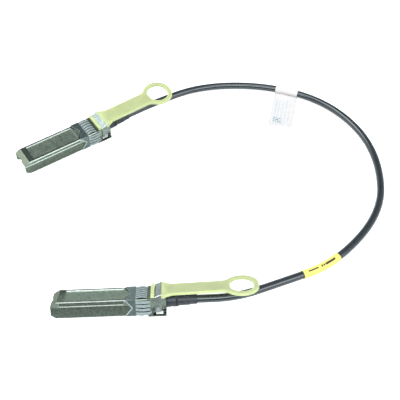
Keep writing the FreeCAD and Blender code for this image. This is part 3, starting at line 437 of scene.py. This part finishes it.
def printed_film(name, colour, blocks):
    """Glossy film with blocks of generic printed bars."""
    made, tree, shader = new_material(name, colour, 0.3)
    uv = add_node(tree, "ShaderNodeUVMap", uv_map="print").outputs["UV"]
    split = add_node(tree, "ShaderNodeSeparateXYZ", links={"Vector": uv})
    x, y = split.outputs["X"], split.outputs["Y"]
    wrinkle = noise(tree, in_millimetres(tree), 0.35, detail=3.0)
    surface = ramp(tree, wrinkle, [(0.3, shade(colour, 0.96)), (0.7, shade(colour, 1.02))])
    for number, (bounds, rows, columns, cover, ink) in enumerate(blocks):
        printed = bars(tree, x, y, rows, columns, cover, number)
        factor = calculate(tree, "MULTIPLY", printed, window(tree, x, y, *bounds))
        blend = add_node(tree, "ShaderNodeMix", links={0: factor, 6: surface}, data_type="RGBA")
        blend.inputs[7].default_value = (*ink, 1)
        surface = blend.outputs[2]
    tree.links.new(surface, shader.inputs["Base Color"])
    bump(tree, shader, wrinkle, 0.05 * MM, 0.35)
    return made


METAL = (0.20, 0.24, 0.195)
# Grey of the painted highlights on the shells' edge lines
HIGHLIGHT_GREY = (0.55, 0.58, 0.55)
MATERIALS = {
    # Lit and shaded copies of one die-cast colour: the upper shell painted lighter for light on its top, the lower
    # shell painted darker for shade on its sides
    "upper_shell": cast_metal("die_cast_upper", shade(METAL, 1.32), pebbles=0.7, dull=1.05),
    "lower_shell": cast_metal("die_cast_lower", shade(METAL, 0.7), pebbles=0.25, dull=0.5, metallic=0.96),
    "emi_collar": sheet_metal("spring_sheet", (0.145, 0.19, 0.18), 0.32),
    "paddle_card": circuit_board("board", (0.02, 0.14, 0.05)),
    "card_contacts": plain_metal("gold_plate", (0.83, 0.58, 0.2), 0.25),
    "wire_cores": soft_plastic("core_insulation", (0.8, 0.8, 0.76), 0.5),
    "crimp_ferrule": plain_metal("crimp_metal", (0.62, 0.5, 0.3), 0.35),
    "strain_relief": black_rubber("boot", (0.024, 0.03, 0.035), 0.4),
    "latch_lever": sheet_metal("stamped_lever", (0.34, 0.38, 0.40), 0.34),
    "lever_pin": plain_metal("pin_steel", (0.5, 0.52, 0.52), 0.28),
    "latch_spring": sheet_metal("leaf_spring", (0.4, 0.42, 0.42), 0.3),
    "yoke": sheet_metal("stamped_yoke", (0.25, 0.29, 0.265), 0.26, turn=(0, 0, 1.57)),
    "yoke_rivets": plain_metal("rivet_steel", (0.55, 0.58, 0.58), 0.25),
    "pull_tab": soft_plastic("tab_green", (0.55, 0.60, 0.285)),
}
EXTRA_MATERIALS = {
    "upper_shell": [
        # Painted highlight on the top edge line
        painted_highlight("die_cast_upper_highlight", shade(HIGHLIGHT_GREY, 0.85)),
        # Painted shade on the border along the top and in the side groove
        cast_metal("die_cast_border_shaded", shade(METAL, 0.84), pebbles=0.15, dull=0.35),
        # Painted light on the nose chamfer
        painted_highlight("die_cast_nose_lit", (0.235, 0.265, 0.195), metallic=0.85),
        # Painted highlight on the label panel's walls
        painted_highlight("die_cast_rim_highlight", (0.78, 0.82, 0.78)),
    ],
    # Painted highlight on the side line
    "lower_shell": [painted_highlight("die_cast_lower_highlight", shade(HIGHLIGHT_GREY, 0.75))],
    "emi_collar": [
        # Painted highlight on the front rim and cut edges
        painted_highlight("spring_sheet_highlight", (0.55, 0.62, 0.62)),
        # Painted light on the fingers' outer sides
        painted_highlight("spring_fingers_lit", (0.33, 0.385, 0.38), metallic=0.35),
    ],
    # Painted highlight on the bends and edges
    "yoke": [painted_highlight("stamped_yoke_highlight", (0.8, 0.84, 0.83))],
    # Painted highlight on the edges
    "latch_lever": [painted_highlight("stamped_lever_highlight", (0.7, 0.74, 0.74))],
    # Painted highlight on the rounded rims
    "pull_tab": [soft_plastic("tab_green_rim_highlight", (0.70, 0.74, 0.53))],
}


# Which of its piece's materials each face takes; the first two mean the same in every piece: its own colour and,
# where it has one, its painted highlight

BASE, PAINTED_HIGHLIGHT = 0, 1
# Painted shade on the border, painted light on the nose and a painted highlight on the panel's walls
SHADED_BORDER, LIT_NOSE, RIM_HIGHLIGHT = 2, 3, 4
# Painted light on the collar's fingers
LIT_FINGERS = 2


def within(ends, x):
    """True between two places along the plug."""
    return ends[0] < x < ends[1]


def slants(normal):
    """True for a face that leans outwards and up, such as a long chamfer."""
    return abs(normal.y) > LEAN_OUT and normal.z > LEAN_UP


def on_panel(place):
    """True in the sunk label panel, on its walls and on the top edge round it."""
    return within(PANEL_ENDS, place.x) and place.z > PANEL_LEVEL and abs(place.y) < PANEL_ASIDE


def upper_shell_finish_and_light(centre, normal, rounded):
    """Painted highlights on a line along the top and on the walls round the label panel, painted shade on the
    border along the top and in the side groove, painted light on the nose.
    """
    aside = abs(centre.y)
    # Long chamfers: a painted highlight along the line and at the ends, painted shade elsewhere
    if slants(normal) and aside > EDGE_ASIDE:
        lined = centre.z > LINE_LEVELS["upper_shell"] or not within(EDGE_ENDS, centre.x)
        return PAINTED_HIGHLIGHT if lined else SHADED_BORDER
    on_side = within(GROOVE_ENDS, centre.x) and aside > UPPER_SIDE_ASIDE and centre.z > UPPER_SIDE_LEVEL
    # Painted shade in the side groove and on the flat top round the panel
    if on_side or normal.z > FLAT and centre.z > TOP_LEVEL:
        return SHADED_BORDER
    if on_panel(centre):
        # Painted highlight on the panel's walls
        at_wall = centre.x > PANEL_END_WALL or aside > PANEL_SIDE_WALL
        return RIM_HIGHLIGHT if at_wall and (rounded or normal.z < FLAT) else BASE
    # Painted light on the nose chamfer
    return LIT_NOSE if centre.x < NOSE_END and min(-normal.x, normal.z) > LEAN_OUT else BASE


def lower_shell_finish_and_light(centre, normal, rounded):
    """A painted highlight line along the sides, behind the nose."""
    lined = centre.x > GROOVE_ENDS[0] and centre.z > LINE_LEVELS["lower_shell"]
    return PAINTED_HIGHLIGHT if lined and slants(normal) and abs(centre.y) > EDGE_ASIDE else BASE


def collar_finish_and_light(centre, normal, rounded):
    """A painted highlight along the notched front edge and the cut and rounded edges, and paler fingers on their
    outer sides from painted light.
    """
    from_middle = abs(centre.z - MID_HEIGHT)
    # Painted light on the fingers' outer sides
    if centre.x > COLLAR_BAND_END:
        outward = abs(normal.z if from_middle > FINGER_LEVEL else normal.y)
        return LIT_FINGERS if outward > FACING else BASE
    corner = Vector((COLLAR_START, 0, COLLAR_HALF))
    from_notch = NOTCH_ACROSS.dot(Vector((centre.x, 0, from_middle)) - corner)
    on_rim = abs(normal.y) > FLAT and from_notch < NOTCH_RIM
    # Painted highlight on the front rim, the cut faces and the rounded edges
    return PAINTED_HIGHLIGHT if rounded or normal.x < -LEAN_OUT or on_rim else BASE


def yoke_finish_and_light(centre, normal, rounded):
    """A painted highlight where it is bent over the plug's long edges and along its rounded edges."""
    return PAINTED_HIGHLIGHT if rounded or slants(normal) else BASE


def rounded_finish_and_light(centre, normal, rounded):
    """A painted highlight along its rounded edges alone."""
    return PAINTED_HIGHLIGHT if rounded else BASE


FINISH_AND_LIGHT_RULES = {
    "upper_shell": upper_shell_finish_and_light,
    "lower_shell": lower_shell_finish_and_light,
    "emi_collar": collar_finish_and_light,
    "yoke": yoke_finish_and_light,
}


# Small shapes that the photograph shows; a broad chamfer is an offset in millimetres and its segments

BROAD_CHAMFERS = {"upper_shell": (0.4, 1), "yoke": (0.5, 4)}


def widen_border(edit, plug):
    """Moves the label panel's long walls in, because the photograph has a wider border beside it."""
    into_plug = plug.inverted()
    for vertex in edit.verts:
        place = into_plug @ vertex.co / MM
        if on_panel(place) and abs(abs(place.y) - PANEL_HALF) < NEAR:
            place.y *= 1 - PANEL_INSET / PANEL_HALF
            vertex.co = plug @ (place * MM)


def cutting_planes(kind):
    """Planes, as place and direction in the plug's millimetres, that cut faces where a painted highlight or
    painted shade ends.
    """
    if kind in LINE_LEVELS:
        planes = [(Vector((x, 0, 0)), Vector((1, 0, 0))) for x in GROOVE_ENDS]
        return planes + [(Vector((0, 0, LINE_LEVELS[kind])), Vector((0, 0, 1)))]
    if kind == "emi_collar":
        planes = []
        for sign in (1, -1):
            across = Vector((NOTCH_ACROSS.x, 0, NOTCH_ACROSS.z * sign))
            corner = Vector((COLLAR_START, 0, MID_HEIGHT + COLLAR_HALF * sign))
            planes.append((corner + across * NOTCH_RIM, across))
        return planes
    return []


def has_broad_chamfer(kind, a, b):
    """True for an edge from a to b at the label panel's rim, the nose's sides or the yoke's bends."""
    run, rise = abs(a.x - b.x), abs(a.z - b.z)
    aside = min(abs(a.y), abs(b.y))
    if kind == "yoke":
        return aside > YOKE_EDGE_ASIDE and min(a.z, b.z) > YOKE_EDGE_LEVEL and run > SHORTEST_EDGE
    rim = all(on_panel(end) and abs(end.z - BODY_HEIGHT) < NEAR for end in (a, b))
    nose = aside > NOSE_EDGE_ASIDE and max(a.x, b.x) < NOSE_EDGE_END
    return rim or nose and min(run, rise) > SHORTEST_EDGE


def refine(kind, edit, plug):
    """A wider panel border, edges where a painted highlight or painted shade ends, and broad chamfers."""
    into_plug = plug.inverted()
    if kind == "upper_shell":
        widen_border(edit, plug)
    for place, across in cutting_planes(kind):
        bmesh.ops.bisect_plane(
            edit, geom=edit.verts[:] + edit.edges[:] + edit.faces[:], dist=0.001 * MM,
            plane_co=plug @ (place * MM), plane_no=plug.to_3x3() @ across,
        )
    if kind in BROAD_CHAMFERS:
        offset, segments = BROAD_CHAMFERS[kind]
        chosen = [
            edge for edge in edit.edges
            if edge.is_manifold and edge.calc_face_angle() > SHARP_ANGLE
            and has_broad_chamfer(kind, *(into_plug @ vertex.co / MM for vertex in edge.verts))
        ]
        bmesh.ops.bevel(
            edit, geom=chosen, offset=offset * MM, offset_type="OFFSET", segments=segments, profile=0.5,
            affect="EDGES", clamp_overlap=True,
        )


# Metal and moulded pieces, with edges rounded by these millimetres, as tools leave them

EDGE_WIDTHS = {
    "upper_shell": 0.08,
    "lower_shell": 0.1,
    "emi_collar": 0.06,
    "yoke": 0.1,
    "latch_lever": 0.08,
    "pull_tab": 0.22,
    "strain_relief": 0.14,
}


def refined_mesh(kind, side):
    """A CAD node's mesh with its small shapes, and with its finish, painted highlights, painted light and painted
    shade as materials.
    """
    node = f"{kind}_{side}"
    mesh = frame["nodes"][node].data.copy()
    mesh.name = f"{node}_soft"
    edit = bmesh.new()
    edit.from_mesh(mesh)
    bmesh.ops.remove_doubles(edit, verts=edit.verts, dist=0.002 * MM)
    bmesh.ops.dissolve_limit(
        edit, angle_limit=math.radians(0.6), verts=edit.verts, edges=edit.edges, use_dissolve_boundaries=False
    )
    refine(kind, edit, PLUGS[side])
    edit.to_mesh(mesh)
    edit.free()
    mesh.materials.clear()
    for material in [MATERIALS[kind], *EXTRA_MATERIALS.get(kind, [MATERIALS[kind]])]:
        mesh.materials.append(material)
    for face in mesh.polygons:
        face.use_smooth = True
    return mesh


def rounded_mesh(piece, width):
    """A piece's mesh with its sharp edges rounded and given a painted highlight, while its flat faces still look
    flat.
    """
    rounding = piece.modifiers.new("edges", "BEVEL")
    rounding.width = width * MM
    rounding.segments = 2
    rounding.limit_method = "ANGLE"
    rounding.angle_limit = SHARP_ANGLE
    rounding.use_clamp_overlap = True
    # The rounded edges take the painted highlight material
    rounding.material = PAINTED_HIGHLIGHT
    flatten = piece.modifiers.new("flats", "WEIGHTED_NORMAL")
    flatten.mode = "FACE_AREA"
    flatten.weight = 90
    graph = bpy.context.evaluated_depsgraph_get()
    mesh = bpy.data.meshes.new_from_object(piece.evaluated_get(graph))
    piece.modifiers.clear()
    return mesh


def soften(kind, side, width):
    """A copy of a CAD node that stands for it, with rounded edges, and for each face its finish, a painted
    highlight, painted light or painted shade.
    """
    node = f"{kind}_{side}"
    piece = new_object(f"{node}_dressed", refined_mesh(kind, side))
    piece.data = rounded_mesh(piece, width)
    into_plug = PLUGS[side].inverted()
    # Each face takes its own colour, a painted highlight, painted light or painted shade
    finish = FINISH_AND_LIGHT_RULES.get(kind, rounded_finish_and_light)
    for face in piece.data.polygons:
        centre = into_plug @ face.center / MM
        normal = into_plug.to_3x3() @ face.normal
        face.material_index = finish(centre, normal, face.material_index == PAINTED_HIGHLIGHT)
    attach(piece, body_of(node))
    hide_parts(node)


def dress_plug(side):
    """Gives each CAD node of a plug its material, then softens the pieces that show."""
    for kind, material in MATERIALS.items():
        mesh = frame["nodes"][f"{kind}_{side}"].data
        mesh.materials.clear()
        mesh.materials.append(material)
    for kind, width in EDGE_WIDTHS.items():
        soften(kind, side, width)


for plug_side in "ab":
    dress_plug(plug_side)


# Cable

def make_cable():
    """The cable as one smooth spline; also its centreline as points."""
    curve = bpy.data.curves.new("cable_line", "CURVE")
    curve.dimensions = "3D"
    curve.resolution_u = 14
    spline = curve.splines.new("NURBS")
    spline.points.add(len(CABLE_ROUTE) - 1)
    for point, place in zip(spline.points, CABLE_ROUTE):
        point.co = (*(part * MM for part in place), 1)
    spline.order_u = 3
    spline.use_endpoint_u = True
    piece = new_object("cable_jacket", curve)
    bpy.context.view_layer.update()
    bare = bpy.data.meshes.new_from_object(piece.evaluated_get(bpy.context.evaluated_depsgraph_get()))
    line = [vertex.co.copy() for vertex in bare.vertices]
    bpy.data.meshes.remove(bare)
    curve.bevel_depth = CABLE_DIAMETER / 2
    curve.bevel_resolution = 6
    curve.use_fill_caps = True
    curve.materials.append(cable_jacket("jacket", (0.007, 0.010, 0.012)))
    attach(piece, "assembly")
    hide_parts("cable")
    return piece, line


def along(line, distance):
    """Point and heading at a distance along a line of points."""
    passed = 0.0
    for a, b in zip(line, line[1:]):
        step = (b - a).length
        if passed + step >= distance:
            return a.lerp(b, (distance - passed) / step), (b - a).normalized()
        passed += step
    return line[-1], (line[-1] - line[-2]).normalized()


def nearest(line, place):
    """Distance along a line of points at which it comes closest to a place."""
    best, passed = (math.inf, 0.0), 0.0
    for a, b in zip(line, line[1:]):
        best = min(best, ((a - place).length, passed))
        passed += (b - a).length
    return best[1]


# Films on the cable

def make_film(name, rows, material, thickness, offset):
    """A film of some thickness through rows of (point, print coordinates)."""
    length = len(rows[0])
    verts = [point for row in rows for point, _ in row]
    uvs = [uv for row in rows for _, uv in row]
    faces = [
        (corner, corner + 1, corner + length + 1, corner + length)
        for step in range(len(rows) - 1)
        for corner in range(step * length, (step + 1) * length - 1)
    ]
    mesh = bpy.data.meshes.new(name)
    mesh.from_pydata(verts, [], faces)
    mesh.materials.append(material)
    layer = mesh.uv_layers.new(name="print")
    for loop in mesh.loops:
        layer.data[loop.index].uv = uvs[loop.vertex_index]
    for face in mesh.polygons:
        face.use_smooth = True
    mesh.validate()
    piece = new_object(name, mesh)
    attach(piece, "assembly")
    thicken = piece.modifiers.new("thickness", "SOLIDIFY")
    thicken.thickness = thickness
    thicken.offset = offset
    return piece


def make_wrap(line, steps=36, sides=32):
    """Yellow film wound once round the cable, its free edge lying on its own start."""
    middle = nearest(line, WRAP_MIDDLE)
    first, step_up, lapped = WRAP_LAYERS
    layers = [first] * sides + [step_up] + [lapped] * (WRAP_LAP - 1)
    rows = []
    for step in range(steps + 1):
        share = step / steps
        place, heading = along(line, middle + (share - 0.5) * WRAP_LENGTH)
        side = heading.cross(Vector((0, 0, 1))).normalized()
        up = side.cross(heading)
        row = []
        for number, layer in enumerate(layers):
            angle = 2 * math.pi * number / sides - WRAP_SEAM
            radius = FILM_RADIUS + FILM * layer
            point = place + side * math.cos(angle) * radius + up * math.sin(angle) * radius
            row.append((point, (1 - share, number / sides)))
        rows.append(row)
    material = printed_film("yellow_film", (0.78, 0.68, 0.155), WRAP_PRINT)
    piece = make_film("yellow_wrap", rows, material, FILM * 0.5, -1)
    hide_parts("wrap_label")
    return piece


def flag_fold(place, out, sides):
    """Section of the flag over the cable, from its far side round to where its tail begins."""
    radius = FILM_RADIUS + FILM / 2
    points = []
    for number in range(sides, -1, -1):
        angle = FOLD_START + FOLD_SWEEP * number / sides
        points.append(place + out * math.cos(angle) * radius + Vector((0, 0, math.sin(angle) * radius)))
    return points


def flag_tail(start, end, share, lengths):
    """Section of the flag's tail, which drops to the table, lies on it and curls up a little at its end."""
    points = []
    for number in range(1, lengths + 1):
        part = number / lengths
        point = start.lerp(end, part)
        fall = math.exp(-part * TAIL_FALL)
        curl = CURL_HEIGHT * max(0.0, part - CURL_START) ** 2 * (1 + share) / CURL_SPREAD
        point.z = (start.z - TAIL_REST) * fall + TAIL_REST + (TAIL_LIFT + curl) * (1 - fall)
        points.append(point)
    return points


def make_flag(line, steps=24, sides=24, lengths=30):
    """White film folded over the cable with its halves stuck together."""
    middle = nearest(line, FLAG_MIDDLE)
    turned = Matrix.Rotation(FLAG_TURN, 3, "Z")
    down = turned @ Vector((0, -1, 0))
    rows = []
    for step in range(steps + 1):
        share = step / steps
        place, heading = along(line, middle + (share - 0.5) * FLAG_WIDTH)
        out = Vector((heading.y, -heading.x, 0)).normalized()
        if out.dot(down) < 0:
            out = -out
        end = FLAG_MIDDLE + turned @ Vector(((share - 0.5) * FLAG_WIDTH, -FLAG_LENGTH, 0))
        fold = flag_fold(place, out, sides)
        section = fold + flag_tail(fold[-1], end, share, lengths)
        last = len(section) - 1
        rows.append([(point, (share, 1 - number / last)) for number, point in enumerate(section)])
    material = printed_film("white_film", (0.665, 0.625, 0.615), FLAG_PRINT)
    piece = make_film("white_flag", rows, material, FILM, 0)
    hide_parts("flag_label")
    return piece


cable, centreline = make_cable()
wrap = make_wrap(centreline)
flag = make_flag(centreline)


# Floor, light and camera

def floor_material():
    """Pale floor that takes the shadow, lifted to white for what looks straight at it."""
    made, tree, shader = new_material("floor", FLOOR_GREY, 0.9)
    set_inputs(shader, Specular_IOR_Level=0.0, Emission_Color=(1, 1, 1, 1))
    path = add_node(tree, "ShaderNodeLightPath").outputs
    seen = calculate(tree, "MAXIMUM", path["Is Camera Ray"], path["Is Transmission Ray"])
    lift = calculate(tree, "MULTIPLY", seen, FLOOR_LIFT)
    tree.links.new(lift, shader.inputs["Emission Strength"])
    return made


def make_floor():
    """The table that the cable lies on."""
    bpy.ops.mesh.primitive_plane_add(size=FLOOR_SIZE, location=(0, 0, FLOOR_LEVEL))
    floor = bpy.context.object
    floor.name = "floor"
    floor.data.materials.append(floor_material())


def make_lamp(name, place, width, depth, watts, colour):
    """A soft box that faces the middle of the object, with its width from left to right."""
    lamp = bpy.data.lights.new(name, "AREA")
    lamp.shape = "RECTANGLE"
    lamp.size = width
    lamp.size_y = depth
    lamp.energy = watts
    lamp.color = colour
    piece = new_object(name, lamp)
    piece.location = place
    piece.rotation_euler = (LAMP_TARGET - Vector(place)).to_track_quat("-Z", "Y").to_euler()


def make_world():
    """A soft room, brighter or dimmer in smooth patches, and plain white for what looks straight at it."""
    world = bpy.data.worlds.new("studio")
    world.use_nodes = True
    tree = world.node_tree
    heading = add_node(tree, "ShaderNodeTexCoord").outputs["Generated"]
    strength = ROOM_LEVEL
    for towards, near, full, change in ROOM_PATCHES:
        facing = add_node(tree, "ShaderNodeVectorMath", links={0: heading}, operation="DOT_PRODUCT")
        facing.inputs[1].default_value = towards
        patch = add_node(
            tree, "ShaderNodeMapRange", links={"Value": facing.outputs["Value"]},
            interpolation_type="SMOOTHSTEP", From_Min=near, From_Max=full, To_Min=1.0, To_Max=change,
        ).outputs["Result"]
        strength = calculate(tree, "MULTIPLY", strength, patch)
    room = tree.nodes["Background"]
    set_inputs(room, Color=ROOM_COLOUR)
    tree.links.new(strength, room.inputs["Strength"])
    white = add_node(tree, "ShaderNodeBackground", Color=(1, 1, 1, 1), Strength=1.0)
    seen = add_node(tree, "ShaderNodeLightPath").outputs["Is Camera Ray"]
    choice = add_node(
        tree, "ShaderNodeMixShader",
        links={0: seen, 1: room.outputs["Background"], 2: white.outputs["Background"]},
    )
    tree.links.new(choice.outputs["Shader"], tree.nodes["World Output"].inputs["Surface"])
    bpy.context.scene.world = world


def make_camera():
    """The photograph's view, placed from the nose of plug b."""
    nose = PLUGS["b"].translation
    data = bpy.data.cameras.new("camera")
    data.lens = CAMERA_LENS
    data.sensor_width = 36
    data.clip_start = 0.005
    piece = new_object("camera", data)
    piece.location = (nose.x + CAMERA_FROM_NOSE[0], nose.y + CAMERA_FROM_NOSE[1], CAMERA_HEIGHT)
    piece.rotation_euler = (CAMERA_TILT, 0, CAMERA_TURN)
    bpy.context.scene.camera = piece


make_floor()
make_world()
for lamp_name, settings in LAMPS.items():
    make_lamp(lamp_name, *settings)
make_camera()
bpy.context.scene.view_settings.view_transform = "Standard"
